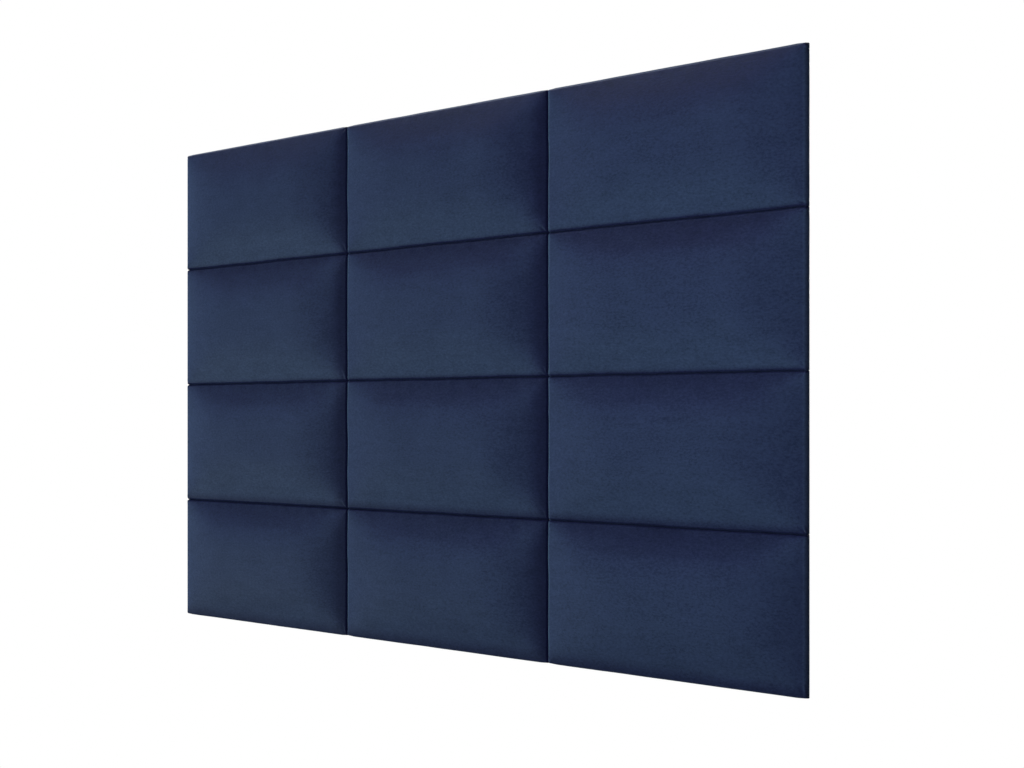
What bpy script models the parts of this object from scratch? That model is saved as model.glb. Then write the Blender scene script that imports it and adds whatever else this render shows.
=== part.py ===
"""Padded wall panel set: twelve upholstered velvet panels, three across and four down.

Each panel is a fibreboard backing board with a foam pad on its front, a velvet cover that is
pulled round both and turned in over the back, and a hook strip on the back. The hook strip
presses onto a loop strip that is stuck to the wall, so each panel pulls straight off and
presses back on.

Axes: +X to the right as seen from the front, +Z up, and the fronts face -Y. The origin is the
middle of the whole set in width, height and depth. Row 1 is the top row and column 1 is the
left column. Units are metres.
"""

import math

import bmesh
import bpy

# The set
COLUMNS = 3
ROWS = 4
PITCH_X = 0.600  # one panel's nominal width
PITCH_Z = 0.300  # one panel's nominal height
JOINT_GAP = 0.0010  # between two neighbouring covers
GAP = 0.0003  # between pieces that touch on the real panel

# Thicknesses
LOOP_THICKNESS = 0.0017
HOOK_THICKNESS = 0.0020
BOARD_THICKNESS = 0.0100
COVER_THICKNESS = 0.0012

# Depths, measured from the wall towards the room
EDGE_DEPTH = 0.0210  # front edge of the padding
CROWN_DEPTH = 0.0380  # middle of the front
HOOK_BACK = LOOP_THICKNESS + GAP
HOOK_FRONT = HOOK_BACK + HOOK_THICKNESS
BOARD_BACK = HOOK_FRONT + GAP
BOARD_FRONT = BOARD_BACK + BOARD_THICKNESS
HEM_FRONT = BOARD_BACK - GAP
HEM_BACK = HEM_FRONT - COVER_THICKNESS
WALL_Y = CROWN_DEPTH / 2  # the origin is at half of the depth

# Cover and pad
HALF_X = (PITCH_X - JOINT_GAP) / 2
HALF_Z = (PITCH_Z - JOINT_GAP) / 2
EDGE_PULL = 0.0030  # how far the front edge rolls in
EDGE_ROLL = 0.0050  # depth over which it rolls
ROLL_BACK = EDGE_DEPTH - EDGE_ROLL
CORNER_PULL = 0.0012  # how far the corners pull in
BACK_BEVEL_INSET = 0.0012  # bevel where the cover turns onto the back
BACK_BEVEL_DEPTH = 0.0015
HEM_WIDTH = 0.0300  # cover turned in over the back of the board
SMOOTH_ANGLE = math.radians(40)  # sharper edges than this stay sharp

# Shape of the crown: higher powers keep the middle flatter and the ends steeper
CROWN_POWER_X = 3.0
CROWN_POWER_Z = 2.4
CROWN_FULLNESS = 0.6  # power on the whole rise; lower is fuller

# How finely the crowned surface is divided
CELLS_X = 8
CELLS_Z = 6

# Plates
BOARD_UNDERSIZE = 0.0032  # board edge in from half the pitch
BOARD_CORNER = 0.0050
STRIP_LENGTH = 0.500
STRIP_WIDTH = 0.050
STRIP_CORNER = 0.004


def clear_scene():
    for obj in list(bpy.data.objects):
        bpy.data.objects.remove(obj, do_unlink=True)


def material(name, colour, roughness):
    mat = bpy.data.materials.new(name)
    mat.use_nodes = True
    shader = mat.node_tree.nodes["Principled BSDF"]
    shader.inputs["Base Color"].default_value = (*colour, 1.0)
    shader.inputs["Roughness"].default_value = roughness
    mat.diffuse_color = (*colour, 1.0)
    return mat


# Places on the front are given as (across, up), each from -1 to 1 between opposite edges.


def stations(cells):
    """Positions from -1 to 1, closer together towards the ends, where the surface turns most."""
    return [math.sin(math.pi * (i / cells - 0.5)) for i in range(cells + 1)]


def crown(across, up):
    """Share of the crown's rise at a place, from 0 at the edge to 1 in the middle."""
    rise_x = 1 - abs(across) ** CROWN_POWER_X
    rise_z = 1 - abs(up) ** CROWN_POWER_Z
    return (rise_x * rise_z) ** CROWN_FULLNESS


def add_vertex(mesh, across, up, depth, inset):
    """Adds a vertex at a place on a rectangle that is `inset` inside the panel's sides."""
    if abs(across) == 1 and abs(up) == 1:
        inset += CORNER_PULL
    return mesh.verts.new((across * (HALF_X - inset), -depth, up * (HALF_Z - inset)))


def front_rim(mesh, inset):
    """Adds the crowned front, `inset` under the outside of the cover, and returns its rim.

    The rim runs in the same order as rim_places.
    """
    rows = []
    for up in stations(CELLS_Z):
        row = []
        for across in stations(CELLS_X):
            depth = EDGE_DEPTH + (CROWN_DEPTH - EDGE_DEPTH) * crown(across, up) - inset
            row.append(add_vertex(mesh, across, up, depth, inset + EDGE_PULL))
        rows.append(row)
    for lower, upper in zip(rows, rows[1:]):
        for corners in zip(lower, lower[1:], upper[1:], upper):
            mesh.faces.new(corners)

    rim = rows[0][:-1]
    rim += [row[-1] for row in rows[:-1]]
    rim += reversed(rows[-1][1:])
    rim += [row[0] for row in reversed(rows[1:])]
    return rim


def rim_places():
    """The place of each vertex round the edge, anticlockwise seen from the front."""
    columns, rows = stations(CELLS_X), stations(CELLS_Z)
    places = [(across, -1.0) for across in columns[:-1]]
    places += [(1.0, up) for up in rows[:-1]]
    places += [(across, 1.0) for across in reversed(columns[1:])]
    places += [(-1.0, up) for up in reversed(rows[1:])]
    return places


def ring(mesh, depth, inset):
    """A ring of vertices round the panel at one depth."""
    return [add_vertex(mesh, across, up, depth, inset) for across, up in rim_places()]


def skin(mesh, rings):
    """Joins each ring to the next with a band of faces."""
    for near, far in zip(rings, rings[1:]):
        for i in range(len(near)):
            j = (i + 1) % len(near)
            mesh.faces.new((near[j], near[i], far[i], far[j]))


def finished(mesh, name, mat, smooth=False):
    bmesh.ops.recalc_face_normals(mesh, faces=mesh.faces)
    data = bpy.data.meshes.new(name)
    mesh.to_mesh(data)
    mesh.free()
    if smooth:
        data.shade_smooth()
        data.set_sharp_from_angle(angle=SMOOTH_ANGLE)
    data.materials.append(mat)
    return data


def cover_mesh(mat):
    """Velvet over the front, round the sides and turned in over the back.

    It is one sheet with thickness, open in the middle of the back.
    """
    mesh = bmesh.new()
    outside = front_rim(mesh, inset=0.0)
    inside = front_rim(mesh, inset=COVER_THICKNESS)
    skin(
        mesh,
        [
            outside,
            ring(mesh, ROLL_BACK, inset=0.0),
            ring(mesh, HEM_BACK + BACK_BEVEL_DEPTH, inset=0.0),
            ring(mesh, HEM_BACK, inset=BACK_BEVEL_INSET),
            ring(mesh, HEM_BACK, inset=HEM_WIDTH),
            ring(mesh, HEM_FRONT, inset=HEM_WIDTH),
            ring(mesh, HEM_FRONT, inset=COVER_THICKNESS),
            ring(mesh, ROLL_BACK, inset=COVER_THICKNESS),
            inside,
        ],
    )
    return finished(mesh, "velvet_cover", mat, smooth=True)


def foam_mesh(mat):
    """The pad: crowned in front, flat where it is bonded to the board."""
    mesh = bmesh.new()
    inset = COVER_THICKNESS + GAP
    back = ring(mesh, BOARD_FRONT + GAP, inset)
    skin(mesh, [front_rim(mesh, inset), ring(mesh, ROLL_BACK, inset), back])
    mesh.faces.new(back)
    return finished(mesh, "foam_pad", mat, smooth=True)


def plate_mesh(name, mat, size, corner, back, front):
    """A flat plate between two depths, `size` in x and z, with its corners cut off."""
    half_x, half_z = size[0] / 2, size[1] / 2
    outline = [
        (-half_x + corner, -half_z),
        (half_x - corner, -half_z),
        (half_x, -half_z + corner),
        (half_x, half_z - corner),
        (half_x - corner, half_z),
        (-half_x + corner, half_z),
        (-half_x, half_z - corner),
        (-half_x, -half_z + corner),
    ]
    mesh = bmesh.new()
    face = mesh.faces.new([mesh.verts.new((x, -back, z)) for x, z in outline])
    for item in bmesh.ops.extrude_face_region(mesh, geom=[face])["geom"]:
        if isinstance(item, bmesh.types.BMVert):
            item.co.y = -front
    return finished(mesh, name, mat)


def board_mesh(mat):
    size = (PITCH_X - 2 * BOARD_UNDERSIZE, PITCH_Z - 2 * BOARD_UNDERSIZE)
    return plate_mesh("backing_board", mat, size, BOARD_CORNER, BOARD_BACK, BOARD_FRONT)


def strip_mesh(name, mat, back, front):
    return plate_mesh(name, mat, (STRIP_LENGTH, STRIP_WIDTH), STRIP_CORNER, back, front)


def place(name, data, location=(0.0, 0.0, 0.0), parent=None):
    obj = bpy.data.objects.new(name, data)
    obj.location = location
    obj.parent = parent
    bpy.context.scene.collection.objects.link(obj)
    return obj


def empty(name, location):
    obj = place(name, None, location)
    obj.empty_display_size = 0.05
    return obj


def build():
    clear_scene()
    velvet = material("navy_velvet", colour=(0.022, 0.036, 0.076), roughness=0.9)
    foam = material("upholstery_foam", colour=(0.72, 0.69, 0.58), roughness=0.95)
    fibreboard = material("fibreboard", colour=(0.38, 0.25, 0.14), roughness=0.85)
    hook = material("hook_tape", colour=(0.020, 0.020, 0.022), roughness=0.6)
    loop = material("loop_tape", colour=(0.035, 0.035, 0.038), roughness=0.95)

    # Every panel shares these meshes, whose own origin is on the wall behind its middle.
    panel_meshes = [
        cover_mesh(velvet),
        foam_mesh(foam),
        board_mesh(fibreboard),
        strip_mesh("hook_strip", hook, HOOK_BACK, HOOK_FRONT),
    ]
    loop_strip = strip_mesh("loop_strip", loop, 0.0, LOOP_THICKNESS)

    # The loop strips stay on the wall when a panel is pulled off.
    wall = empty("wall_side", (0.0, WALL_Y, 0.0))
    for row in range(ROWS):
        for column in range(COLUMNS):
            tag = f"r{row + 1}c{column + 1}"
            x = (column - (COLUMNS - 1) / 2) * PITCH_X
            z = ((ROWS - 1) / 2 - row) * PITCH_Z
            panel = empty(f"panel_{tag}", (x, WALL_Y, z))
            for data in panel_meshes:
                place(f"{data.name}_{tag}", data, parent=panel)
            place(f"loop_strip_{tag}", loop_strip, (x, 0.0, z), wall)


build()
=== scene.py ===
"""Looks for a padded wall panel set: velvet covers, foam, staples, boards and tape, in studio light.

Twelve panels hang in four rows of three. Their fronts face -Y and the wall is at the greatest y;
seen from the front +X is right and +Z is up. Row 1 is the top one, column 1 the left one.

A cover's front is a sheet simulated as cloth, with pressure from inside and its rim held. It is
then given side walls, a turned-in hem, folded corners and a thickness. Each cover, its foam and
its staples ride on their own panel's body. Depths are measured from the wall towards the front.
"""

import math

import bmesh
import bpy
import numpy as np
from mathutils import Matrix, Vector


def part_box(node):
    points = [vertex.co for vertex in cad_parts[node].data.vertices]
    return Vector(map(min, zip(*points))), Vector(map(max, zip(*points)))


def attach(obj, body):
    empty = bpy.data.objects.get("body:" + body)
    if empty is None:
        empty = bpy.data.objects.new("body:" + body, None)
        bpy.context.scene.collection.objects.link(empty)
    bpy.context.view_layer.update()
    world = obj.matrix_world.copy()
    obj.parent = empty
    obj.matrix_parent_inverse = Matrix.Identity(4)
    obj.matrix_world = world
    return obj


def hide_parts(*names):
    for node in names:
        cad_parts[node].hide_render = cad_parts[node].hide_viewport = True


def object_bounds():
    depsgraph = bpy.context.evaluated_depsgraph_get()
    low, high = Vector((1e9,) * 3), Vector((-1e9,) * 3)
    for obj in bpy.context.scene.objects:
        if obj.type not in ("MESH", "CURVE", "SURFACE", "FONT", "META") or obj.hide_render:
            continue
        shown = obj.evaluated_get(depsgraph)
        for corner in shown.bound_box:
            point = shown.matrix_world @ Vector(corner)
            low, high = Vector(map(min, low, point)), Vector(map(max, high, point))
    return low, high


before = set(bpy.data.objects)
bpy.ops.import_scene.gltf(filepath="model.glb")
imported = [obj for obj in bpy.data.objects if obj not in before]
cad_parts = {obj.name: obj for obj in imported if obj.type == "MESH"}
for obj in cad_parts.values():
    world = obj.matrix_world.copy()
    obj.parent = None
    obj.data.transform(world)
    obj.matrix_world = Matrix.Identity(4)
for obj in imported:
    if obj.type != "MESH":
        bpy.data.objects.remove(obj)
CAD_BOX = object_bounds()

# ---------------------------------------------------------------------------------------------
# Sizes, in metres
# ---------------------------------------------------------------------------------------------
ROWS, COLUMNS = 4, 3
MM = 0.001
WALL_Y = max(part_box("loop_strip_r1c1")[1].y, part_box("loop_strip_r4c3")[1].y)
FIRST_LOW, FIRST_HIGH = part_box("velvet_cover_r1c1")
HALF_X = (FIRST_HIGH.x - FIRST_LOW.x) / 2
HALF_Z = (FIRST_HIGH.z - FIRST_LOW.z) / 2
CROWN = WALL_Y - FIRST_LOW.y  # depth of the front's highest point
HEM_DEPTH = WALL_Y - FIRST_HIGH.y  # depth of the hem's wall-side face
THICK = 1.2 * MM  # the cloth
RIM_DEPTH = 11.5 * MM  # where the front starts to rise from the side wall
CORNER_R = 3.6 * MM
ROLL_WIDE, ROLL_DEEP = 4.6 * MM, 5.0 * MM  # the cloth's turn from the side to the front
CREST = CROWN - RIM_DEPTH - ROLL_DEEP  # the crown's rise above the rolled edge
REACH_X = 178.0 * MM  # how far in from the left and right the crown still rises
EVEN_Z = 52.0 * MM  # from top and bottom it rises evenly up to here
REACH_Z = 122.0 * MM  # and levels off here
CREST_BLEND = 2.5  # how sharply the two slopes meet along the corner's diagonal

# Signs of a panel's corners in x and z
CORNERS = ((-1, -1), (-1, 1), (1, -1), (1, 1))
LOWER_RIGHT = (1, -1)


class Panel:
    """A panel's place in the set."""

    def __init__(self, number):
        self.number = number
        self.row, self.column = divmod(number, COLUMNS)
        self.tag = f"r{self.row + 1}c{self.column + 1}"
        self.has_left, self.has_right = self.column > 0, self.column < COLUMNS - 1
        self.has_above, self.has_below = self.row > 0, self.row < ROWS - 1

    def centre(self):
        low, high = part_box(f"velvet_cover_{self.tag}")
        return (low.x + high.x) / 2, (low.z + high.z) / 2

    def place(self, points):
        """Moves panel-centred points, with the wall at y = 0, into the frame."""
        centre_x, centre_z = self.centre()
        return points + np.array([centre_x, WALL_Y, centre_z])


# ---------------------------------------------------------------------------------------------
# Small helpers
# ---------------------------------------------------------------------------------------------
def smooth(value, low, high):
    """Smooth step from 0 at `low` to 1 at `high`."""
    share = np.clip((np.asarray(value, float) - low) / (high - low), 0.0, 1.0)
    return share * share * (3 - 2 * share)


def fade(value, low, high):
    """Smooth step from 1 at `low` to 0 at `high`."""
    return 1 - smooth(value, low, high)


def lattice(x, z, seed):
    """A repeatable random value in -1..1 at each lattice point."""
    mixed = x.astype(np.int64) * 374761393 + z.astype(np.int64) * 668265263 + seed * 974634777
    mixed = mixed & 0x7FFFFFFF
    mixed = ((mixed ^ (mixed >> 13)) * 1274126177) & 0x7FFFFFFF
    mixed = mixed ^ (mixed >> 16)
    return (mixed % 65536) / 32767.5 - 1.0


def noise(x, z, size, seed):
    """Smooth value noise in -1..1 whose features are about `size` across."""

    def eased(part):
        return part * part * part * (part * (part * 6 - 15) + 10)

    x, z = np.asarray(x, float) / size, np.asarray(z, float) / size
    cell_x, cell_z = np.floor(x), np.floor(z)
    part_x, part_z = eased(x - cell_x), eased(z - cell_z)

    def row(at_z):
        start, end = lattice(cell_x, at_z, seed), lattice(cell_x + 1, at_z, seed)
        return start * (1 - part_x) + end * part_x

    return row(cell_z) * (1 - part_z) + row(cell_z + 1) * part_z


def edge_distances(x, z):
    """Distances in from the left or right side, and from the top or bottom."""
    return HALF_X - np.abs(x), HALF_Z - np.abs(z)


def edge_distance(x, z):
    return np.minimum(*edge_distances(x, z))


def link(obj):
    bpy.context.scene.collection.objects.link(obj)
    return obj


def mesh_object(name, points, faces, mat):
    data = bpy.data.meshes.new(name)
    data.from_pydata([tuple(point) for point in points], [], [tuple(face) for face in faces])
    data.validate()
    data.materials.append(mat)
    return link(bpy.data.objects.new(name, data))


def finish_solid(obj, sharp_angle):
    """Turns a closed mesh's faces outward and shades it smooth up to `sharp_angle` degrees."""
    mesh = bmesh.new()
    mesh.from_mesh(obj.data)
    bmesh.ops.recalc_face_normals(mesh, faces=mesh.faces)
    mesh.to_mesh(obj.data)
    mesh.free()
    obj.data.shade_smooth()
    obj.data.set_sharp_from_angle(angle=math.radians(sharp_angle))


# ---------------------------------------------------------------------------------------------
# Materials
# ---------------------------------------------------------------------------------------------
class Nodes:
    """A short way to write a material's node tree."""

    def __init__(self, name):
        self.mat = bpy.data.materials.new(name)
        self.mat.use_nodes = True
        self.tree = self.mat.node_tree
        self.tree.nodes.clear()
        self.out = self.tree.nodes.new("ShaderNodeOutputMaterial")

    def new(self, kind, **values):
        node = self.tree.nodes.new("ShaderNode" + kind)
        for key, value in values.items():
            setattr(node, key, value)
        return node

    def join(self, source, target):
        self.tree.links.new(source, target)

    def put(self, socket, value):
        """Links a socket, or sets its value; colours may leave out their alpha."""
        if isinstance(value, bpy.types.NodeSocket):
            self.join(value, socket)
        elif isinstance(value, tuple) and len(value) == 3 and len(socket.default_value) == 4:
            socket.default_value = (*value, 1.0)
        else:
            socket.default_value = value

    def maths(self, operation, *values, clamp=False):
        node = self.new("Math", operation=operation, use_clamp=clamp)
        for socket, value in zip(node.inputs, values):
            self.put(socket, value)
        return node.outputs[0]

    def mix(self, factor, under, over, blend="MIX"):
        node = self.new("Mix", data_type="RGBA", blend_type=blend)
        self.put(node.inputs[0], factor)
        self.put(node.inputs[6], under)
        self.put(node.inputs[7], over)
        return node.outputs[2]

    def between(self, value, low, high, to_low=0.0, to_high=1.0, linear=False):
        node = self.new("MapRange", interpolation_type="LINEAR" if linear else "SMOOTHSTEP")
        for socket, item in zip(node.inputs, (value, low, high, to_low, to_high)):
            self.put(socket, item)
        return node.outputs[0]

    def place(self, scale=(1.0, 1.0, 1.0)):
        coords = self.new("TexCoord")
        mapping = self.new("Mapping")
        self.join(coords.outputs["Object"], mapping.inputs["Vector"])
        mapping.inputs["Scale"].default_value = scale
        return mapping.outputs["Vector"]

    def texture(self, kind, vector, inputs, **values):
        node = self.new("Tex" + kind, **values)
        self.join(vector, node.inputs["Vector"])
        for name, value in inputs.items():
            node.inputs[name].default_value = value
        return node

    def noise(self, vector, scale, detail=2.0, rough=0.5, distortion=0.0):
        inputs = {
            "Scale": scale,
            "Detail": detail,
            "Roughness": rough,
            "Distortion": distortion,
        }
        return self.texture("Noise", vector, inputs).outputs["Fac"]

    def attribute(self, name):
        return self.new("Attribute", attribute_name=name).outputs["Fac"]

    def bump(self, height, strength, distance):
        node = self.new("Bump")
        self.put(node.inputs["Strength"], strength)
        self.put(node.inputs["Distance"], distance)
        self.join(height, node.inputs["Height"])
        return node.outputs["Normal"]

    def principled(self, **values):
        node = self.new("BsdfPrincipled")
        for key, value in values.items():
            self.put(node.inputs[key.replace("_", " ")], value)
        self.join(node.outputs[0], self.out.inputs["Surface"])
        return self.mat


PILE_DEEP = (0.0242, 0.0380, 0.0910)  # the bare pile seen end on
PILE_LAID = (0.0500, 0.0800, 0.1900)  # the same pile lying over
PILE_WORN = (0.060, 0.082, 0.160)
SHEEN_TINT = (0.375, 0.635, 1.0)
SHEEN_ROUGH = 0.42
SATIN_TINT = (0.290, 0.647, 1.0)
# Red, green and blue follow the painted light and shade with these powers: the painted shade is
# redder and bluer too
PAINTED_LIGHT_POWERS = (0.80, 1.0, 0.62)


def velvet_material(name, sheen, satin):
    look = Nodes(name)
    straight = look.place()
    laid = look.place((0.55, 1.0, 1.0))  # pile brushed sideways leaves long marks
    tufts = look.noise(laid, scale=270.0, rough=0.60)
    grain = look.noise(straight, scale=760.0, rough=0.6)
    brushed = look.noise(look.place((0.22, 1.0, 1.0)), scale=60.0, detail=3.0, distortion=0.3)
    patches = look.noise(straight, scale=11.0, detail=3.0, rough=0.55, distortion=0.4)
    # the ground weave: rows of tufts one under another
    waves = []
    for direction, scale in (("X", 260.0), ("Z", 230.0)):
        inputs = {"Scale": scale, "Distortion": 1.2, "Detail Scale": 2.0}
        wave = look.texture("Wave", straight, inputs, wave_type="BANDS", bands_direction=direction)
        waves.append(wave.outputs["Fac"])
    weave = look.maths("MULTIPLY", *waves)
    # how far the pile lies over: each pattern's middle value and its share
    brightness = look.maths("MULTIPLY_ADD", look.maths("SUBTRACT", tufts, 0.5), 1.50, 0.5)
    for pattern, middle, share in (
        (grain, 0.5, 1.25),
        (brushed, 0.5, 0.45),
        (patches, 0.5, 0.30),
        (weave, 0.3, 0.06),
    ):
        part = look.maths("MULTIPLY", look.maths("SUBTRACT", pattern, middle), share)
        brightness = look.maths("ADD", brightness, part, clamp=pattern is weave)
    colour = look.mix(brightness, under=PILE_DEEP, over=PILE_LAID)
    # worn, slightly greyed pile on the rolled edges
    wear = look.maths("MULTIPLY", look.attribute("wear"), 0.12)
    colour = look.mix(wear, under=colour, over=PILE_WORN)
    # the painted light and shade, with the hand marks and scuffs, multiply the pile's colour
    tone = look.new("CombineColor")
    for channel, power in zip(tone.inputs, PAINTED_LIGHT_POWERS):
        look.join(look.maths("POWER", look.attribute("painted_light_and_marks"), power), channel)
    colour = look.mix(1.0, under=colour, over=tone.outputs[0], blend="MULTIPLY")
    coarse, fine = look.maths("MULTIPLY", tufts, 0.6), look.maths("MULTIPLY", grain, 0.4)
    height = look.maths("ADD", coarse, fine)
    height = look.maths("ADD", height, look.maths("MULTIPLY", weave, 0.10))
    normal = look.bump(height, strength=0.55, distance=0.0009)
    rough = look.between(brightness, low=0.0, high=1.0, to_low=0.52, to_high=0.40, linear=True)
    return look.principled(
        Base_Color=colour,
        Roughness=rough,
        Specular_IOR_Level=satin,
        Specular_Tint=SATIN_TINT,
        Sheen_Weight=sheen,
        Sheen_Roughness=SHEEN_ROUGH,
        Sheen_Tint=SHEEN_TINT,
        Normal=normal,
    )


def foam_material():
    look = Nodes("upholstery_foam_look")
    straight = look.place()
    cells = look.texture("Voronoi", straight, {"Scale": 900.0}, feature="F1").outputs["Distance"]
    tone = look.between(look.noise(straight, scale=9.0, detail=3.0), low=0.35, high=0.65)
    colour = look.mix(tone, under=(0.66, 0.60, 0.44), over=(0.74, 0.70, 0.56))
    walls = look.between(cells, low=0.0, high=0.6)
    colour = look.mix(walls, under=colour, over=(0.50, 0.45, 0.32))
    return look.principled(
        Base_Color=colour,
        Roughness=0.97,
        Specular_IOR_Level=0.1,
        Normal=look.bump(cells, strength=0.7, distance=0.0006),
    )


def board_material():
    look = Nodes("fibreboard_look")
    straight = look.place()
    stretched = look.place((0.35, 1.0, 1.0))
    fibres = look.noise(stretched, scale=420.0, detail=3.0, rough=0.65, distortion=0.8)
    flecks = look.noise(straight, scale=170.0, rough=0.7)
    cloud = look.noise(straight, scale=14.0, detail=3.0)
    light_share = look.between(fibres, low=0.3, high=0.7)
    colour = look.mix(light_share, under=(0.235, 0.150, 0.082), over=(0.420, 0.290, 0.170))
    fleck_share = look.between(flecks, low=0.60, high=0.72)
    colour = look.mix(fleck_share, under=colour, over=(0.145, 0.085, 0.045))
    cloud_share = look.between(cloud, low=0.3, high=0.7, to_high=0.35)
    colour = look.mix(cloud_share, under=colour, over=(0.330, 0.235, 0.150))
    return look.principled(
        Base_Color=colour,
        Roughness=look.between(
            fibres, low=0.2, high=0.8, to_low=0.62, to_high=0.86, linear=True
        ),
        Specular_IOR_Level=0.3,
        Normal=look.bump(fibres, strength=0.35, distance=0.0005),
    )


def hook_material():
    look = Nodes("hook_tape_look")
    inputs = {"Scale": 620.0, "Randomness": 0.35}
    hooks = look.texture("Voronoi", look.place(), inputs, feature="F1", distance="EUCLIDEAN")
    distance = hooks.outputs["Distance"]
    heads = look.between(distance, low=0.15, high=0.55, to_low=1.0, to_high=0.0)
    colour = look.mix(heads, under=(0.008, 0.008, 0.009), over=(0.034, 0.034, 0.037))
    return look.principled(
        Base_Color=colour,
        Roughness=look.between(heads, low=0.0, high=1.0, to_low=0.75, to_high=0.42, linear=True),
        Specular_IOR_Level=0.45,
        Normal=look.bump(heads, strength=0.9, distance=0.0008),
    )


def loop_material():
    """Black loop pile on the room side, a milky adhesive film on the wall side."""
    look = Nodes("loop_tape_look")
    straight = look.place()
    fuzz = look.noise(straight, scale=520.0, detail=4.0, rough=0.7, distortion=1.5)
    tips = look.between(fuzz, low=0.35, high=0.68)
    pile = look.mix(tips, under=(0.010, 0.010, 0.012), over=(0.060, 0.060, 0.066))
    flattened = look.place((1.0, 1.0, 2.2))
    mottle = look.noise(flattened, scale=75.0, detail=4.0, rough=0.6, distortion=0.6)
    folds = look.noise(look.place((0.3, 1.0, 3.5)), scale=40.0, detail=3.0, rough=0.55)
    milky = look.between(mottle, low=0.38, high=0.66)
    film = look.mix(milky, under=(0.40, 0.39, 0.36), over=(0.60, 0.59, 0.55))
    creased = look.between(folds, low=0.60, high=0.72)
    film = look.mix(creased, under=film, over=(0.30, 0.29, 0.27))
    facing = look.new("NewGeometry")
    split = look.new("SeparateXYZ")
    look.join(facing.outputs["True Normal"], split.inputs[0])
    wall_side = look.between(split.outputs[1], low=0.6, high=0.8)
    colour = look.mix(wall_side, under=pile, over=film)
    rough = look.between(wall_side, low=0.0, high=1.0, to_low=0.96, to_high=0.38, linear=True)
    pile_height = look.mix(fuzz, under=(0, 0, 0), over=(1, 1, 1))
    film_height = look.mix(mottle, under=(0.3, 0.3, 0.3), over=(0.45, 0.45, 0.45))
    height = look.mix(wall_side, under=pile_height, over=film_height)
    return look.principled(
        Base_Color=colour,
        Roughness=rough,
        Specular_IOR_Level=0.4,
        Normal=look.bump(height, strength=0.8, distance=0.0007),
    )


def staple_material():
    look = Nodes("staple_wire")
    dull = look.noise(look.place(), scale=900.0, detail=3.0, rough=0.6)
    dulled = look.between(dull, low=0.35, high=0.7)
    colour = look.mix(dulled, under=(0.60, 0.60, 0.61), over=(0.42, 0.42, 0.43))
    return look.principled(
        Base_Color=colour,
        Metallic=1.0,
        Roughness=look.between(dull, low=0.3, high=0.75, to_low=0.26, to_high=0.48, linear=True),
        Normal=look.bump(dull, strength=0.2, distance=0.0001),
    )


# ---------------------------------------------------------------------------------------------
# The cover's front sheet
# ---------------------------------------------------------------------------------------------
# Grid steps in from an edge, in mm, then the rough step of the even cells
EDGE_STEPS = (0.7, 0.8, 0.9, 1.1, 1.3, 1.6, 1.9, 2.2, 2.5, 2.8, 3.1, 3.4, 3.7, 4.0, 4.3)
CELL = 5.0


def lines(half):
    """Grid lines from -half to half, close together near the edges, where the cloth turns."""
    out = [0.0]
    for step in EDGE_STEPS:
        out.append(out[-1] + step * MM)
    left = half - out[-1]
    count = round(left / (CELL * MM))
    out += [out[-1] + left * (i + 1) / count for i in range(count)]
    edge = np.array(out)
    return np.concatenate([-half + edge, (half - edge[:-1])[::-1]])


def rounded(x, z, radius=CORNER_R):
    """Turns the square corners of the panel's plan into round ones."""
    from_side, from_end = edge_distances(x, z)
    share_x = np.clip((radius - from_side) / radius, 0, 1)
    share_z = np.clip((radius - from_end) / radius, 0, 1)
    move_x = radius * (share_x - share_x * np.sqrt(1 - share_z * share_z / 2))
    move_z = radius * (share_z - share_z * np.sqrt(1 - share_x * share_x / 2))
    return x - np.sign(x) * move_x, z - np.sign(z) * move_z


def rise(x, z):
    """Share of the crown's rise, 0 at the edges to 1 in the middle."""
    from_side, from_end = (np.maximum(gap, 0) for gap in edge_distances(x, z))
    slope_x = 1 - (1 - np.clip(from_side / REACH_X, 0, 1)) ** 2
    ease = REACH_Z - EVEN_Z
    late = np.clip(from_end - EVEN_Z, 0, ease)
    slope_z = (np.minimum(from_end, EVEN_Z) + late - late**2 / (2 * ease)) / (EVEN_Z + ease / 2)
    # the two slopes meet along the diagonal near a corner and blend further in
    slope_x, slope_z = np.maximum(slope_x, 1e-4), np.maximum(slope_z, 1e-4)
    blended = (slope_x**-CREST_BLEND + slope_z**-CREST_BLEND - 1) ** (-1 / CREST_BLEND)
    return np.where((from_side > 0) & (from_end > 0), blended, 0.0)


def roll(x, z):
    """The turn over the foam's edge, 0 at the side to 1 where the front begins."""
    from_side, from_end = (np.maximum(gap, 0) for gap in edge_distances(x, z))
    turn_x = 1 - np.clip(from_side / ROLL_WIDE, 0, 1)
    turn_z = 1 - np.clip(from_end / ROLL_WIDE, 0, 1)
    return np.sqrt(np.clip(1 - (turn_x**4 + turn_z**4) ** 0.5, 0, 1))


def grid_faces(count_x, count_z):
    i, j = np.meshgrid(np.arange(count_x - 1), np.arange(count_z - 1))
    k = (j * count_x + i).ravel()
    return np.stack([k, k + 1, k + count_x + 1, k + count_x], -1)


def rim_indices(count_x, count_z):
    """A grid's edge vertices, anticlockwise seen from the front, from the lower left."""
    low = [(0, i) for i in range(count_x - 1)]
    right = [(j, count_x - 1) for j in range(count_z - 1)]
    high = [(count_z - 1, i) for i in range(count_x - 1, 0, -1)]
    left = [(j, 0) for j in range(count_z - 1, 0, -1)]
    return np.array([j * count_x + i for j, i in low + right + high + left])


GRID_X, GRID_Z = lines(HALF_X), lines(HALF_Z)
COUNT_X, COUNT_Z = len(GRID_X), len(GRID_Z)
RIM = rim_indices(COUNT_X, COUNT_Z)

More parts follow.
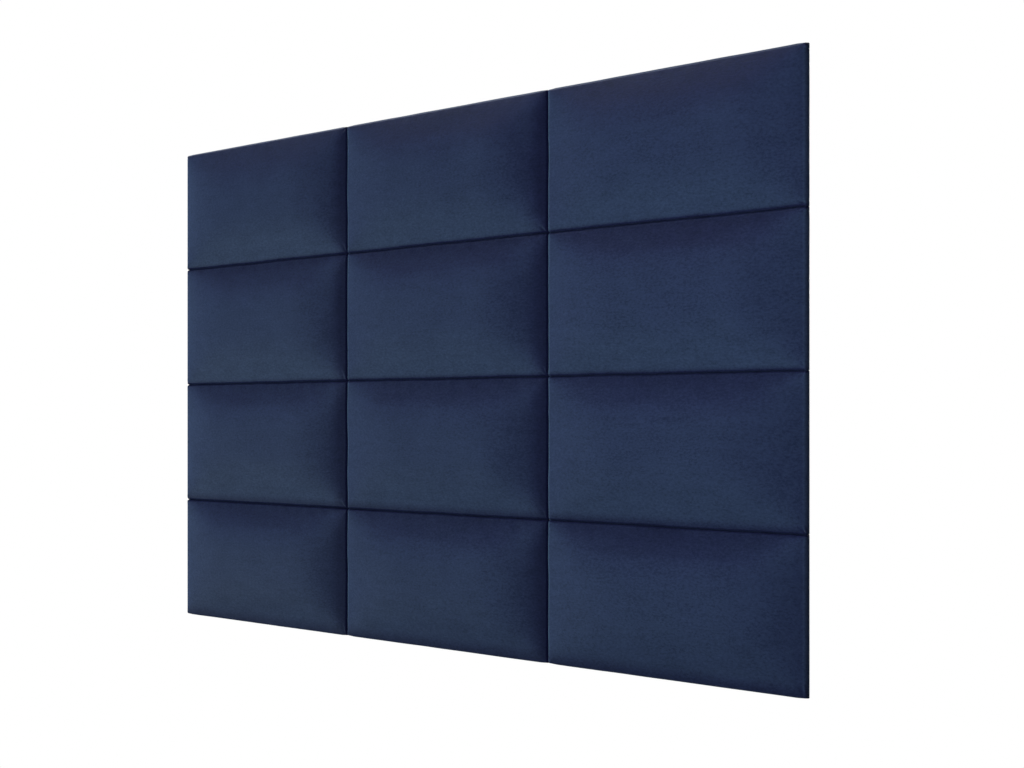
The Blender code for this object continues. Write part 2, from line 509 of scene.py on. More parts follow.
# ---------------------------------------------------------------------------------------------
# The cloth simulation, on a sheet with even cells; its effect is carried to the finer grid
# ---------------------------------------------------------------------------------------------
SIM_NX, SIM_NZ = 81, 41
SIM_X, SIM_Z = np.linspace(-HALF_X, HALF_X, SIM_NX), np.linspace(-HALF_Z, HALF_Z, SIM_NZ)
SLACK = 2.2 * MM  # the sheet starts this much low: the pressure swells it
FRAMES = 20
PRESSURE, PRESSURE_SPREAD = 4.2, 0.35
CLOTH = dict(
    quality=6,
    mass=0.3,
    air_damping=1.0,
    tension_stiffness=20.0,
    compression_stiffness=20.0,
    shear_stiffness=8.0,
    bending_stiffness=0.6,
    tension_damping=8.0,
    compression_damping=8.0,
    shear_damping=8.0,
    bending_damping=0.6,
    use_pressure=True,
    vertex_group_mass="pin",
    vertex_group_shrink="ease",
    shrink_min=0.0,
    shrink_max=-0.022,
)


def soften(field, width):
    """Gaussian blur over the even grid, `width` in cells."""
    reach = int(3 * width + 1)
    kernel = np.exp(-0.5 * (np.arange(-reach, reach + 1) / width) ** 2)
    kernel /= kernel.sum()
    for axis in (0, 1):
        margins = [(reach, reach) if k == axis else (0, 0) for k in (0, 1)]
        padded = np.pad(field, margins, mode="edge")
        field = np.apply_along_axis(
            lambda line: np.convolve(line, kernel, mode="valid"), axis, padded
        )
    return field


def cubic(fine, coarse):
    """Matrix that reads a field on even `coarse` positions at the `fine` ones (Catmull-Rom)."""
    count = len(coarse)
    out = np.zeros((len(fine), count))
    at = (fine - coarse[0]) / (coarse[1] - coarse[0])
    base = np.clip(np.floor(at).astype(int), 0, count - 2)
    part = at - base
    weights = (
        -0.5 * part + part**2 - 0.5 * part**3,
        1 - 2.5 * part**2 + 1.5 * part**3,
        0.5 * part + 2 * part**2 - 1.5 * part**3,
        -0.5 * part**2 + 0.5 * part**3,
    )
    for shift, weight in zip((-1, 0, 1, 2), weights):
        np.add.at(out, (np.arange(len(fine)), np.clip(base + shift, 0, count - 1)), weight)
    return out


def sheet_object(panel, x, z):
    """One sheet, ready to be simulated."""
    number = panel.number
    rng = np.random.default_rng(100 + number)
    name = "sim_" + panel.tag
    data = bpy.data.meshes.new(name)
    depth = RIM_DEPTH + ROLL_DEEP + (CREST - SLACK) * rise(x, z)
    lumps = noise(x + number * 1.7, z - number * 0.9, size=0.09, seed=31)
    lumps = 0.25 * MM * lumps * smooth(rise(x, z), 0.0, 0.3)
    start = np.stack([x, -(depth + lumps), z], -1).reshape(-1, 3)
    data.from_pydata(start.tolist(), [], grid_faces(SIM_NX, SIM_NZ).tolist())
    obj = link(bpy.data.objects.new(name, data))
    pin = obj.vertex_groups.new(name="pin")
    pin.add(rim_indices(SIM_NX, SIM_NZ).tolist(), 1.0, "REPLACE")
    # ease is strongest at the corners, most at the lower right one, and slight elsewhere
    ease = obj.vertex_groups.new(name="ease")
    weights = np.full(x.shape, 0.25)
    for corner in CORNERS:
        reach = np.hypot(HALF_X - corner[0] * x, HALF_Z - corner[1] * z)
        most = 1.0 if corner == LOWER_RIGHT else rng.uniform(0.5, 0.85)
        weights = np.maximum(weights, most * fade(reach, 0.015, 0.06))
    for k, weight in enumerate(weights.ravel()):
        ease.add([k], float(weight), "REPLACE")
    cloth = obj.modifiers.new("Cloth", "CLOTH")
    for key, value in CLOTH.items():
        setattr(cloth.settings, key, value)
    cloth.settings.effector_weights.gravity = 0.0
    pressure = PRESSURE + rng.uniform(-PRESSURE_SPREAD, PRESSURE_SPREAD)
    cloth.settings.uniform_pressure_force = pressure
    cloth.collision_settings.use_collision = False
    cloth.collision_settings.use_self_collision = False
    cloth.point_cache.frame_start, cloth.point_cache.frame_end = 1, FRAMES
    return obj


def simulate(panels):
    """All the sheets as cloth at once. Returns what each one adds to the crown, in metres."""
    x, z = np.meshgrid(SIM_X, SIM_Z)
    made = [sheet_object(panel, x, z) for panel in panels]
    scene = bpy.context.scene
    for number in range(1, FRAMES + 1):
        scene.frame_set(number)
    graph = bpy.context.evaluated_depsgraph_get()
    depths = []
    for obj in made:
        mesh = obj.evaluated_get(graph).data
        points = np.empty(len(mesh.vertices) * 3, np.float32)
        mesh.vertices.foreach_get("co", points)
        depths.append(-points.reshape(SIM_NZ, SIM_NX, 3)[..., 1].astype(float))
    for obj in made:
        data = obj.data
        bpy.data.objects.remove(obj, do_unlink=True)
        bpy.data.meshes.remove(data)
    scene.frame_set(1)

    crown = rise(x, z)
    ideal = RIM_DEPTH + ROLL_DEEP + CREST * crown
    middle = np.s_[SIM_NZ // 3 : -SIM_NZ // 3, SIM_NX // 3 : -SIM_NX // 3]
    cornerwise = fade(np.hypot(*edge_distances(x, z)), 0.025, 0.085)
    to_fine_x, to_fine_z = cubic(GRID_X, SIM_X), cubic(GRID_Z, SIM_Z)
    added = []
    for depth in depths:
        change = depth - ideal
        change -= change[middle].mean() * smooth(crown, 0.0, 0.9)
        broad = soften(change, width=2.4)
        broad *= smooth(edge_distance(x, z), 0.0, 0.02)
        # small wrinkles stay whole only near the corners
        change = broad + (change - broad) * (0.10 + 0.90 * cornerwise)
        change = np.clip(change, -2.2 * MM, 1.6 * MM)
        added.append(to_fine_z @ change @ to_fine_x.T)
    return added


# ---------------------------------------------------------------------------------------------
# The cover's shape
# ---------------------------------------------------------------------------------------------
SIDE_DEPTHS = (10.4, 9.2, 8.0, 6.8, 5.6)  # the side wall's rings, in mm
SIDE_CORNER_R = CORNER_R - 3.3 * MM  # of the side wall's rings behind the rolled edge
TURN_R = 1.9 * MM  # the cloth's turn over the board's back edge
TURN_ANGLES = (25, 50, 72)
HEM_INSETS = (3.2, 7.0, 11.5, 16.0, 20.5, 24.5, 27.6, 30.0)  # the hem's rings, in mm
FOLDS_PER_CORNER = 3


def front_of(added):
    """The front's points, panel-centred, with the wall at y = 0."""
    x, z = np.meshgrid(GRID_X, GRID_Z)
    depth = RIM_DEPTH + ROLL_DEEP * roll(x, z) + CREST * rise(x, z)
    depth = depth + added * smooth(edge_distance(x, z), 0.0, 0.004)
    round_x, round_z = rounded(x, z)
    return np.stack([round_x, -depth, round_z], -1).reshape(-1, 3)


def creases(x, z, number):
    """Short diagonal folds that run in from the corners, where the spare cloth gathers."""
    rng = np.random.default_rng(4000 + number)
    out = np.zeros(x.shape)
    for corner in CORNERS:
        from_side, from_end = HALF_X - corner[0] * x, HALF_Z - corner[1] * z
        lead, stretch = (1.5, 1.25) if corner == LOWER_RIGHT else (0.75, 1.0)
        for _ in range(FOLDS_PER_CORNER):
            angle = math.radians(rng.uniform(22, 66))
            length = rng.uniform(13, 30) * MM * stretch
            offset = rng.uniform(-1.6, 1.6) * MM
            depth = rng.uniform(0.35, 0.85) * MM * lead
            along = from_side * math.cos(angle) + from_end * math.sin(angle)
            across = -from_side * math.sin(angle) + from_end * math.cos(angle) - offset
            width = 1.0 * MM + 0.085 * np.maximum(along, 0)
            shown = smooth(along, 0.5 * MM, 5 * MM) * fade(along, 0.35 * length, length)
            valley = np.exp(-((across / width) ** 2))
            ridge = np.exp(-(((across - 1.9 * width) / (1.1 * width)) ** 2))
            out += shown * (-depth * valley + 0.45 * depth * ridge)
    return out


def surface_detail(front, panel):
    """Unevenness of foam and pull: broad and slight, different on each panel."""
    centre_x, centre_z = panel.centre()
    x, z = np.meshgrid(GRID_X, GRID_Z)
    near = edge_distance(x, z)
    at_x, at_z = x + centre_x * 1.37, z + centre_z * 1.71
    broad = 0.60 * MM * noise(at_x, at_z, size=0.16, seed=11)
    broad = broad + 0.30 * MM * noise(at_x, at_z, size=0.075, seed=12)
    fine = 0.10 * MM * noise(at_x, at_z, size=0.028, seed=13)
    fine = fine + 0.045 * MM * noise(at_x * 0.6, at_z, size=0.012, seed=14)
    # slight scallops run round close to the edges, 43 mm apart in x
    wave = np.sin(2 * np.pi * (x / 0.043 + panel.number * 0.37))
    scallop = 0.16 * MM * wave * fade(near, 0.004, 0.026) * smooth(near, 0.0005, 0.004)
    out = broad * smooth(near, 0.006, 0.06) + fine * smooth(near, 0.002, 0.012) + scallop
    out = out + creases(x, z, panel.number)
    shaped = front.copy()
    shaped[:, 1] -= out.ravel()
    return shaped


def outline_normals(points):
    """Outward normals of the closed outline, in x and z."""
    run = np.roll(points, -1, 0) - np.roll(points, 1, 0)
    out = np.stack([run[:, 1], -run[:, 0]], -1)
    return out / np.maximum(np.linalg.norm(out, axis=1, keepdims=True), 1e-9)


def side_offset(depth, outline, normals, panel):
    """How far the side wall swells out. Neighbours swell in step, so that they touch softly
    and no light shows between them."""
    x, z = outline[:, 0], outline[:, 1]
    wave = np.sin(2 * np.pi * (depth / MM - HEM_DEPTH / MM) / 8.0)
    on_left, on_right = normals[:, 0] < -0.7, normals[:, 0] > 0.7
    on_low, on_high = normals[:, 1] < -0.7, normals[:, 1] > 0.7
    sign = np.where(on_left | on_low, 1.0, -1.0)
    swell = (0.43 + 0.20 * sign * wave) * MM
    free = (
        (on_left & (not panel.has_left))
        | (on_right & (not panel.has_right))
        | (on_high & (not panel.has_above))
        | (on_low & (not panel.has_below))
    )
    run = np.where(on_left | on_right, z, x)
    uneven = 0.25 * noise(run, depth * 4, size=0.06, seed=50 + panel.number)
    loose = (0.55 + uneven + 0.35 * smooth(depth, 0.004, 0.009)) * MM
    swell = np.where(free, loose, swell)
    # the free corners are pulled in by the folds behind them
    from_side, from_end = edge_distances(x, z)
    return swell * np.where(free, smooth(from_side + from_end, 0.002, 0.022), 1.0)


def joint_line(along, joint, broad, fine, seed):
    """A wandering line along a joint, from a broad and a fine noise of the given sizes."""
    line = noise(along, 0.9 * joint, size=broad, seed=seed)
    return line + 0.5 * noise(along, 0.9 * joint, size=fine, seed=seed + 1)


def wander(points, panel):
    """Sideways shift of the cloth near each joint. Both neighbours shift alike, so the joint's
    line wanders and stays closed."""
    centre_x, centre_z = panel.centre()
    x, z = points[:, 0], points[:, 2]
    shift_x, shift_z = np.zeros(len(points)), np.zeros(len(points))
    for joint, inner, distance in (
        (panel.column, panel.has_left, HALF_X + x),
        (panel.column + 1, panel.has_right, HALF_X - x),
    ):
        if inner:
            line = joint_line(z + centre_z, joint, broad=0.075, fine=0.024, seed=61)
            shift_x += 0.85 * MM * line * fade(distance, 0.002, 0.024)
    for joint, inner, distance in (
        (panel.row, panel.has_above, HALF_Z - z),
        (panel.row + 1, panel.has_below, HALF_Z + z),
    ):
        if inner:
            line = joint_line(x + centre_x, joint, broad=0.090, fine=0.028, seed=63)
            shift_z += 0.60 * MM * line * fade(distance, 0.002, 0.024)
    return shift_x, shift_z


def ring_at(outline, depth):
    return np.stack([outline[:, 0], np.full(len(outline), -depth), outline[:, 1]], -1)


def hem_ring(outline, inset, depth):
    """A ring on the back, `inset` in from the panel's side."""
    scale = np.array([(HALF_X - inset) / HALF_X, (HALF_Z - inset) / HALF_Z])
    return ring_at(outline * scale, depth)


def staple_places(number):
    """Where the staples are on the back: (x, z, angle), panel-centred."""
    rng = np.random.default_rng(900 + number)
    inset, end_gap = 17.5 * MM, 34 * MM
    places = []
    for half_run, half_off, count, turned in (
        (HALF_X, HALF_Z, 13, False),
        (HALF_Z, HALF_X, 6, True),
    ):
        for side in (-1, 1):
            for i in range(count):
                run = ((i + 0.5) / count * 2 - 1) * (half_run - end_gap)
                run += rng.uniform(-5, 5) * MM
                off = side * (half_off - inset + rng.uniform(-2.2, 2.2) * MM)
                angle = rng.normal(0, 0.13) + (math.pi / 2 if turned else 0.0)
                places.append((off, run, angle) if turned else (run, off, angle))
    # two slanting staples hold each folded corner
    for side_x, side_z in CORNERS:
        for step in (13.0, 27.0):
            x = side_x * (HALF_X - (step + rng.uniform(-1.5, 1.5)) * MM)
            z = side_z * (HALF_Z - (step * 0.82 + 4 + rng.uniform(-1.5, 1.5)) * MM)
            places.append((x, z, -side_x * side_z * math.pi / 4 + rng.normal(0, 0.12)))
    return places


def hem_relief(points, number, staples):
    """The hem's unevenness: a dimple at each staple, puckers between, the folded corner."""
    x, z = points[:, 0], points[:, 2]
    from_side, from_end = edge_distances(x, z)
    inset = np.minimum(from_side, from_end)
    puckers = noise(x * 1.4, z * 1.4, size=0.022, seed=70 + number)
    lift = 0.22 * MM * puckers * smooth(inset, 0.003, 0.010)
    for staple_x, staple_z, _ in staples:
        reach = np.hypot(x - staple_x, z - staple_z)
        lift -= 0.42 * MM * np.exp(-((reach / (6.5 * MM)) ** 2)) * smooth(inset, 0.003, 0.008)
    # the corner is folded like a parcel: the upper layer ends along the diagonal
    past = from_side - from_end
    layer = smooth(past, -0.4 * MM, 0.9 * MM) * fade(past, 11.0 * MM, 17.0 * MM)
    near_corner = fade(np.maximum(from_side, from_end), 0.036, 0.050)
    lift += 0.72 * MM * layer * smooth(inset, 0.0015, 0.005) * near_corner
    return lift


def side_rings(panel):
    """The side wall's rings, and the last one's outline and normals before it swells."""
    raw_x, raw_z = (grid.ravel()[RIM] for grid in np.meshgrid(GRID_X, GRID_Z))
    rings = []
    for depth in SIDE_DEPTHS:
        # behind the rolled edge the folded cloth fills the corners out
        radius = CORNER_R - (CORNER_R - SIDE_CORNER_R) * smooth(-depth, -10.6, -9.0)
        outline = np.stack(rounded(raw_x, raw_z, radius), -1)
        normals = outline_normals(outline)
        swell = side_offset(depth * MM, outline, normals, panel)
        rings.append(ring_at(outline + normals * swell[:, None], depth * MM))
    return rings, outline, normals


def hem_rings(outline, normals, number):
    """The turn over the board's back edge and the hem on the back."""
    rings = []
    for angle in TURN_ANGLES:
        cosine, sine = math.cos(math.radians(angle)), math.sin(math.radians(angle))
        rings.append(hem_ring(outline, TURN_R * (1 - cosine), HEM_DEPTH + TURN_R * (1 - sine)))
    staples = staple_places(number)
    on_side = np.abs(normals[:, 0]) > 0.7
    for step in HEM_INSETS:
        inset = step * MM
        ring = hem_ring(outline, inset, HEM_DEPTH)
        # the cut edge isn't quite straight
        at_x, at_z = outline[:, 0] * 1.2 + 3, outline[:, 1] * 1.2
        cut = 1.5 * MM * noise(at_x, at_z, size=0.05, seed=90 + number)
        cut = cut * smooth(inset, 0.018, 0.030)
        ring[:, 0] += np.where(on_side, np.sign(ring[:, 0]) * cut, 0)
        ring[:, 2] += np.where(on_side, 0, np.sign(ring[:, 2]) * cut)
        ring[:, 1] += np.minimum(hem_relief(ring, number, staples), 1.6 * MM)
        rings.append(ring)
    return rings


def ring_faces(rings):
    """The front's grid, then each ring joined to the one before it, from the front's rim."""
    faces = [grid_faces(COUNT_X, COUNT_Z)]
    last, count = RIM, len(RIM)
    for number in range(len(rings)):
        index = np.arange(count) + COUNT_X * COUNT_Z + number * count
        faces.append(np.stack([last, index, np.roll(index, -1), np.roll(last, -1)], -1))
        last = index
    return np.concatenate(faces)


# ---------------------------------------------------------------------------------------------
# The pile over the cover: pressed seams with painted shade, painted light and shade, marks and wear
# ---------------------------------------------------------------------------------------------
# By row, from the top
PAINTED_SHADE_UP = (0.64, 0.57, 0.50, 0.52)  # painted shade: how much darker a slope facing up is painted
PAINTED_LIGHT_DOWN = (1.0, 1.15, 0.95, 0.35)  # painted light: how much lighter a slope facing down is painted
PAINTED_SHADE_LOW_BAND = (0.010, 0.012, 0.024, 0.034)  # reach of the painted dark band along the low edge


def pressed_and_shaded_faces(points, faces, panel):
    """1 for each face pressed against a neighbour, which takes the painted-shade copy of the velvet,
    else 0.
    """
    middle = points[faces].mean(1)
    behind = -middle[:, 1] < RIM_DEPTH
    pressed_and_shaded = np.zeros(len(faces), bool)
    # neighbour, distance from its side, and how far in the front is pressed and shaded, in mm
    for neighbour, distance, reach in (
        (panel.has_right, HALF_X - middle[:, 0], 3.0),
        (panel.has_left, HALF_X + middle[:, 0], 0.2),
        (panel.has_above, HALF_Z - middle[:, 2], 3.1),
        (panel.has_below, HALF_Z + middle[:, 2], 3.2),
    ):
        pressed_and_shaded |= neighbour & (distance < np.where(behind, 0.9, reach) * MM)
    return (pressed_and_shaded & (-middle[:, 1] > HEM_DEPTH)).astype(np.int32)


def painted_light_and_marks_of(points, data, panel):
    """Painted light and shade: slopes that face up or right are painted darker, slopes that face
    down and left lighter, as the lamps light them; with broad hand marks and scuffs."""
    row = panel.row
    normal = np.empty(len(points) * 3, np.float32)
    data.vertex_normals.foreach_get("vector", normal)
    normal = normal.reshape(-1, 3).astype(float)
    flat = np.maximum(-normal[:, 1], 0.35)
    right, up = normal[:, 0] / flat, normal[:, 2] / flat
    # painted shade on slopes facing right, stronger beside a neighbour on the right
    brightness = 1.0 - (2.1 if panel.has_right else 0.9) * np.clip(right, 0, 0.30)
    # painted shade on slopes facing up, and painted light on slopes facing down and on those facing
    # left
    facing_up = np.clip(up / 0.26, 0, 1)
    brightness -= PAINTED_SHADE_UP[row] * facing_up ** (2.0 if panel.has_above else 1.3)
    brightness += PAINTED_LIGHT_DOWN[row] * np.clip(-up, 0, 0.25) + 0.10 * np.clip(-right, 0, 0.25)
    # painted shade along the low edge of the front, and along the right edge beside a neighbour
    x, z = points[:, 0], points[:, 2]
    to_right = HALF_X - x
    in_front = smooth(-points[:, 1], 0.006, 0.011)
    brightness *= 1 - 0.60 * in_front * fade(HALF_Z + z, 0.001, PAINTED_SHADE_LOW_BAND[row])
    if panel.has_right:
        brightness *= 1 - 0.50 * in_front * fade(to_right, 0.004, 0.055)
    else:  # on the free side a painted highlight on the turn
        brightness *= 1 + 0.6 * fade(to_right, 0.003, 0.008)
    if panel.has_left:  # and a painted highlight on the turn where it shows past the neighbour on the left
        brightness *= 1 + 1.8 * in_front * fade(HALF_X + x, 0.003, 0.0075)
    # broad hand marks, and scuffs by the right edges
    centre_x, centre_z = panel.centre()
    at_x, at_z = x + centre_x, z + centre_z
    marks = 0.035 * noise(at_x * 0.6, at_z, size=0.045, seed=21)
    marks = marks + 0.022 * noise(at_x, at_z, size=0.018, seed=22)
    scuff = noise(at_x * 1.3, at_z * 0.7, size=0.011, seed=23) * 0.9
    scuff = np.clip(scuff + noise(at_x, at_z, size=0.03, seed=24) * 0.7 - 0.25, 0, 1)
    marks += 0.10 * scuff * fade(to_right, 0.02, 0.11) * (0.5 if panel.has_right else 1.0)
    return np.clip(brightness + marks, 0.3, 2.8)


def wear_of(points, panel):
    """Pile worn where the cloth turns."""
    centre_x, centre_z = panel.centre()
    x, z = points[:, 0], points[:, 2]
    worn = fade(np.abs(edge_distance(x, z) - 0.0015), 0.0, 0.003)
    return worn * (0.55 + 0.45 * noise(x + centre_x, z + centre_z, size=0.02, seed=25))


# ---------------------------------------------------------------------------------------------
# The pieces
# ---------------------------------------------------------------------------------------------
def cover_object(panel, front, mat, shaded_seam_mat):
    """The velvet cover, and its front's points before the joints wander."""
    front = surface_detail(front, panel)
    # the grid's own rim takes the side wall's swell too
    outline = front[RIM][:, [0, 2]]
    normals = outline_normals(outline)
    swell = side_offset(RIM_DEPTH, outline, normals, panel)
    front[RIM, 0] += normals[:, 0] * swell
    front[RIM, 2] += normals[:, 1] * swell
    rings, outline, normals = side_rings(panel)
    rings += hem_rings(outline, normals, panel.number)
    points = np.concatenate([front, *rings])
    faces = ring_faces(rings)
    shift_x, shift_z = wander(points, panel)
    placed = points.copy()
    placed[:, 0] += shift_x
    placed[:, 2] += shift_z
    obj = mesh_object(f"velvet_{panel.tag}", panel.place(placed), faces, mat)
    data = obj.data
    data.shade_smooth()
    # painted shade: the side walls and rolled edges beside a neighbour take a copy of the velvet
    # with little sheen and no satin
    data.materials.append(shaded_seam_mat)
    data.polygons.foreach_set("material_index", pressed_and_shaded_faces(points, faces, panel))
    painted_light_and_marks, wear = painted_light_and_marks_of(points, data, panel), wear_of(points, panel)
    for name, values in (("painted_light_and_marks", painted_light_and_marks), ("wear", wear)):
        layer = data.attributes.new(name, "FLOAT", "POINT")
        layer.data.foreach_set("value", values.astype(np.float32))
    thick = obj.modifiers.new("Thickness", "SOLIDIFY")
    thick.thickness = THICK
    thick.offset = -1.0
    thick.use_even_offset = False
    thick.use_rim = True
    return obj, front


FOAM_INSET = 2.6 * MM
FOAM_CORNER_R = 9.0 * MM
FOAM_GAP = 2.4 * MM  # how far the foam lies under the cover's front
FOAM_LEAST = 0.6 * MM  # the foam's least thickness


def foam_lines(count):
    """Every other grid line, and none of those close to an edge but the edge itself."""
    return [0, *range(6, count - 6, 2), count - 1]


def foam_object(panel, front, mat):
    """The foam: the cover's crown a little way under it, and flat on the board."""
    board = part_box(f"backing_board_{panel.tag}")
    base_depth = WALL_Y - board[0].y + 0.3 * MM
    depth = -front[:, 1].reshape(COUNT_Z, COUNT_X)
    # the lowest cover point nearby, so that the foam never shows through a fold
    for axis in (0, 1):
        low = np.minimum(np.roll(depth, 1, axis), np.roll(depth, -1, axis))
        depth = np.minimum(depth, low)
    keep_x, keep_z = foam_lines(COUNT_X), foam_lines(COUNT_Z)
    x, z = np.meshgrid(GRID_X[keep_x], GRID_Z[keep_z])
    round_x, round_z = rounded(x, z, FOAM_CORNER_R)
    round_x = round_x * (HALF_X - FOAM_INSET) / HALF_X
    round_z = round_z * (HALF_Z - FOAM_INSET) / HALF_Z
    depth = depth[np.ix_(keep_z, keep_x)]
    at_edge = edge_distance(x, z) < 1 * MM
    depth = np.where(at_edge, RIM_DEPTH + 0.8 * MM, depth - FOAM_GAP)
    depth = np.maximum(depth, base_depth + FOAM_LEAST)
    points = np.stack([round_x, -depth, round_z], -1).reshape(-1, 3)
    size = len(keep_x), len(keep_z)
    faces = grid_faces(*size).tolist()
    rim = rim_indices(*size).tolist()
    low = points[rim].copy()
    low[:, 1] = -base_depth
    first, count = len(points), len(rim)
    points = np.concatenate([points, low])
    for i in range(count):
        j = (i + 1) % count
        faces.append([rim[i], first + i, first + j, rim[j]])
    faces.append([first + i for i in range(count)][::-1])
    obj = mesh_object(f"foam_{panel.tag}", panel.place(points), faces, mat)
    finish_solid(obj, sharp_angle=50)
    return obj


# Left half of a staple's path, in mm: along the crown, and depth into the board
STAPLE_HALF = [(-5.0, 0.9), (-5.0, 0.25), (-4.9, -0.12), (-4.55, -0.36), (-4.0, -0.42)]
STAPLE_MIDDLE = (0.0, -0.45)
WIRE_WIDE, WIRE_HIGH = 0.62 * MM, 0.34 * MM  # half sizes of the wire's section
WIRE_SIDES = 8


def staples_object(panel, mat):
    """The staples on a panel's back: flat wire, a 10 mm crown with its shoulders turned in."""
    centre_x, centre_z = panel.centre()
    mirrored = [(-along, deep) for along, deep in STAPLE_HALF[::-1]]
    path = np.array([*STAPLE_HALF, STAPLE_MIDDLE, *mirrored]) * MM
    run = np.gradient(path, axis=0)
    run /= np.linalg.norm(run, axis=1, keepdims=True)
    side = np.stack([-run[:, 1], run[:, 0]], -1)
    turns = [math.radians(22.5 + 45.0 * k) for k in range(WIRE_SIDES)]
    section = [(math.cos(turn) * WIRE_WIDE, math.sin(turn)) for turn in turns]
    points, faces = [], []
    for x, z, angle in staple_places(panel.number):
        start = len(points)
        cosine, sine = math.cos(angle), math.sin(angle)
        from_side, from_end = edge_distances(x, z)
        # on a folded corner's upper layer the staple stands further out
        on_fold = -0.4 * MM < from_side - from_end < 14 * MM and max(from_side, from_end) < 0.04
        folded = 0.5 * MM if on_fold else 0.0
        for (path_along, path_deep), (side_along, side_deep) in zip(path, side):
            for across, through in section:
                along = path_along + side_along * through * WIRE_HIGH
                deep = path_deep + side_deep * through * WIRE_HIGH
                points.append(
                    (
                        centre_x + x + along * cosine - across * sine,
                        WALL_Y - (HEM_DEPTH + 0.30 * MM) - deep + folded,
                        centre_z + z + along * sine + across * cosine,
                    )
                )
        end = start + (len(path) - 1) * WIRE_SIDES
        for ring in range(start, end, WIRE_SIDES):
            after = ring + WIRE_SIDES
            for k in range(WIRE_SIDES):
                m = (k + 1) % WIRE_SIDES
                faces.append((ring + k, ring + m, after + m, after + k))
        faces.append(tuple(start + k for k in range(WIRE_SIDES))[::-1])
        faces.append(tuple(end + k for k in range(WIRE_SIDES)))
    obj = mesh_object(f"staples_{panel.tag}", points, faces, mat)
    finish_solid(obj, sharp_angle=40)
    return obj


# ---------------------------------------------------------------------------------------------
# Build
# ---------------------------------------------------------------------------------------------
velvet = velvet_material("navy_velvet_look", sheen=0.40, satin=0.16)
# a copy with little sheen and no satin: painted shade on the cloth between neighbours
shaded_seam_velvet = velvet_material("navy_velvet_shaded_seam", sheen=0.07, satin=0.0)
foam = foam_material()
cad_looks = {"backing_board": board_material()}
cad_looks["hook_strip"] = hook_material()
cad_looks["loop_strip"] = loop_material()
wire = staple_material()

PANELS = [Panel(number) for number in range(ROWS * COLUMNS)]
shapes = simulate(PANELS)

for panel, shape in zip(PANELS, shapes):
    tag = panel.tag
    body = f"panel_{tag}"
    cover, final_front = cover_object(panel, front_of(shape), velvet, shaded_seam_velvet)
    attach(cover, body)
    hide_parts(f"velvet_cover_{tag}")
    pad = foam_object(panel, final_front, foam)
    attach(pad, body)
    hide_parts(f"foam_pad_{tag}")
    staples = staples_object(panel, wire)
    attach(staples, body)
    for name, mat in cad_looks.items():
        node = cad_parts[f"{name}_{tag}"]
        node.data.materials.clear()
        node.data.materials.append(mat)

# ---------------------------------------------------------------------------------------------
# Floor, light and camera
# ---------------------------------------------------------------------------------------------
scene = bpy.context.scene
FLOOR_Z = CAD_BOX[0].z - 0.9  # the set hangs about as high as a headboard
FLOOR_HALF = 40
WHITE = (1, 1, 1, 1)


def floor_material():
    """Pure white to the camera, a dim grey to the light."""
    look = Nodes("pale_floor")
    tone = look.noise(look.place(), scale=3.0)
    diffuse = look.new("BsdfDiffuse")
    share = look.between(tone, low=0.3, high=0.7)
    grey = look.mix(share, under=(0.10, 0.10, 0.10), over=(0.11, 0.11, 0.11))
    look.join(grey, diffuse.inputs["Color"])
    glow = look.new("Emission")
    glow.inputs["Color"].default_value = WHITE
    glow.inputs["Strength"].default_value = 1.0
    path = look.new("LightPath")
    seen_share = look.maths("MULTIPLY", path.outputs["Is Camera Ray"], 1.0)
    both = look.new("MixShader")
    look.join(seen_share, both.inputs[0])
    look.join(diffuse.outputs[0], both.inputs[1])
    look.join(glow.outputs[0], both.inputs[2])
    look.join(both.outputs[0], look.out.inputs["Surface"])
    return look.mat


# (-1, -1), (1, -1), (1, 1), (-1, 1): round the floor
floor_points = [
    (side_x * FLOOR_HALF, side_y * FLOOR_HALF, FLOOR_Z)
    for side_x, side_y in ((-1, -1), (1, -1), (1, 1), (-1, 1))
]
floor_data = bpy.data.meshes.new("floor")
floor_data.from_pydata(floor_points, [], [(0, 1, 2, 3)])
floor_data.materials.append(floor_material())
floor = link(bpy.data.objects.new("floor", floor_data))
floor.visible_shadow = False  # the two low softboxes shine from under its level


def build_world():
    """White to the camera, and almost no light on the set."""
    world = bpy.data.worlds.new("studio")
    scene.world = world
    world.use_nodes = True
    tree = world.node_tree
    tree.nodes.clear()
    out = tree.nodes.new("ShaderNodeOutputWorld")
    seen = tree.nodes.new("ShaderNodeBackground")
    seen.inputs["Color"].default_value = WHITE
    lighting = tree.nodes.new("ShaderNodeBackground")
    lighting.name = "world_light"
    lighting.inputs["Color"].default_value = WHITE
    lighting.inputs["Strength"].default_value = 0.012
    path = tree.nodes.new("ShaderNodeLightPath")
    mix = tree.nodes.new("ShaderNodeMixShader")
    tree.links.new(path.outputs["Is Camera Ray"], mix.inputs[0])
    tree.links.new(lighting.outputs[0], mix.inputs[1])
    tree.links.new(seen.outputs[0], mix.inputs[2])
    tree.links.new(mix.outputs[0], out.inputs["Surface"])


build_world()

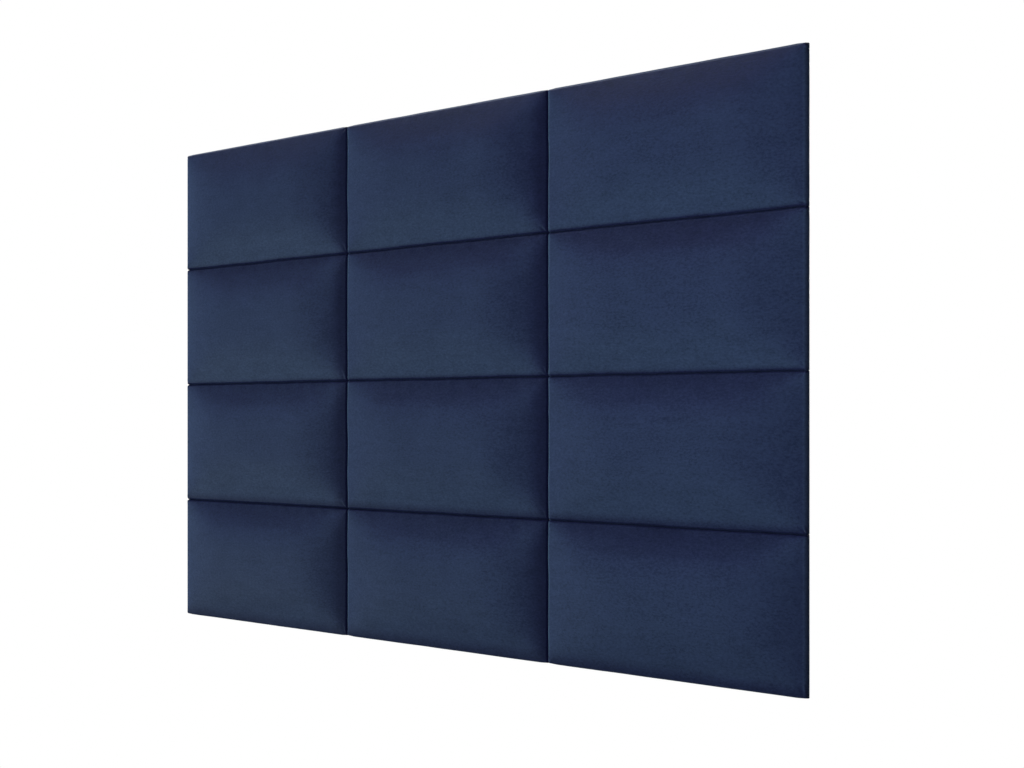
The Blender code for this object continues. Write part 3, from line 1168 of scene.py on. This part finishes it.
# Far softboxes: azimuth and elevation in degrees seen from the set (azimuth 0 straight in front,
# positive to the right), the strength they have on the set in W/m2, and their colour
FAR = 24.0
FAR_SIZE = FAR * 0.39
FAR_LIGHTS = {
    "left_low": (-50, -15, 0.665, (0.94, 1.0, 1.0)),
    "front_low": (-15, -15, 0.365, (1.0, 1.0, 1.0)),
    "left_high": (-80, 55, 1.950, (0.98, 0.93, 1.0)),
    "behind": (-165, 15, 2.1, (1.0, 1.0, 1.0)),
}
# Near softboxes: place, aim, watts and colour
NEAR_SIZE = 0.8
NEAR_LIGHTS = {
    "left_fill": ((-1.6, -1.5, 0.4), (-0.5, 0.0, 0.12), 3.2, (0.98, 0.97, 1.0)),
    "right_fill": ((1.25, -1.5, 0.4), (0.38, 0.0, 0.12), 6.8, (1.0, 0.94, 0.96)),
}


def softbox(name, place, aim, size, watts, colour):
    data = bpy.data.lights.new(name, "AREA")
    data.color = colour
    data.shape = "SQUARE"
    data.size = size
    data.energy = watts
    obj = link(bpy.data.objects.new(name, data))
    obj.location = place
    obj.rotation_mode = "QUATERNION"
    obj.rotation_quaternion = (Vector(place) - Vector(aim)).to_track_quat("Z", "Y")


def direction(azimuth, elevation):
    turn, lift = math.radians(azimuth), math.radians(elevation)
    level = math.cos(lift)
    return Vector((math.sin(turn) * level, -math.cos(turn) * level, math.sin(lift)))


for name, (azimuth, elevation, strength, colour) in FAR_LIGHTS.items():
    place = direction(azimuth, elevation) * FAR
    softbox(name, place, (0, 0, 0), FAR_SIZE, strength * math.pi * FAR**2, colour)
for name, (place, aim, watts, colour) in NEAR_LIGHTS.items():
    softbox(name, place, aim, NEAR_SIZE, watts, colour)

# The camera stands level, in front and to the right, turned towards the left
camera_data = bpy.data.cameras.new("camera")
camera_data.sensor_width = 36.0
camera_data.lens = 50.511
camera_data.shift_y = 0.0324
camera_data.clip_start = 0.05
camera_data.clip_end = 200.0
camera = link(bpy.data.objects.new("camera", camera_data))
camera.location = (2.1517, -2.3596, -0.0852)
camera.rotation_euler = (math.radians(90), 0.0, math.radians(39.507))
scene.camera = camera

scene.view_settings.view_transform = "Standard"
scene.view_settings.look = "None"
scene.view_settings.exposure = 0.0
scene.view_settings.gamma = 1.0

# ---------------------------------------------------------------------------------------------
# Bring the scene up to date
# ---------------------------------------------------------------------------------------------
bpy.context.view_layer.update()
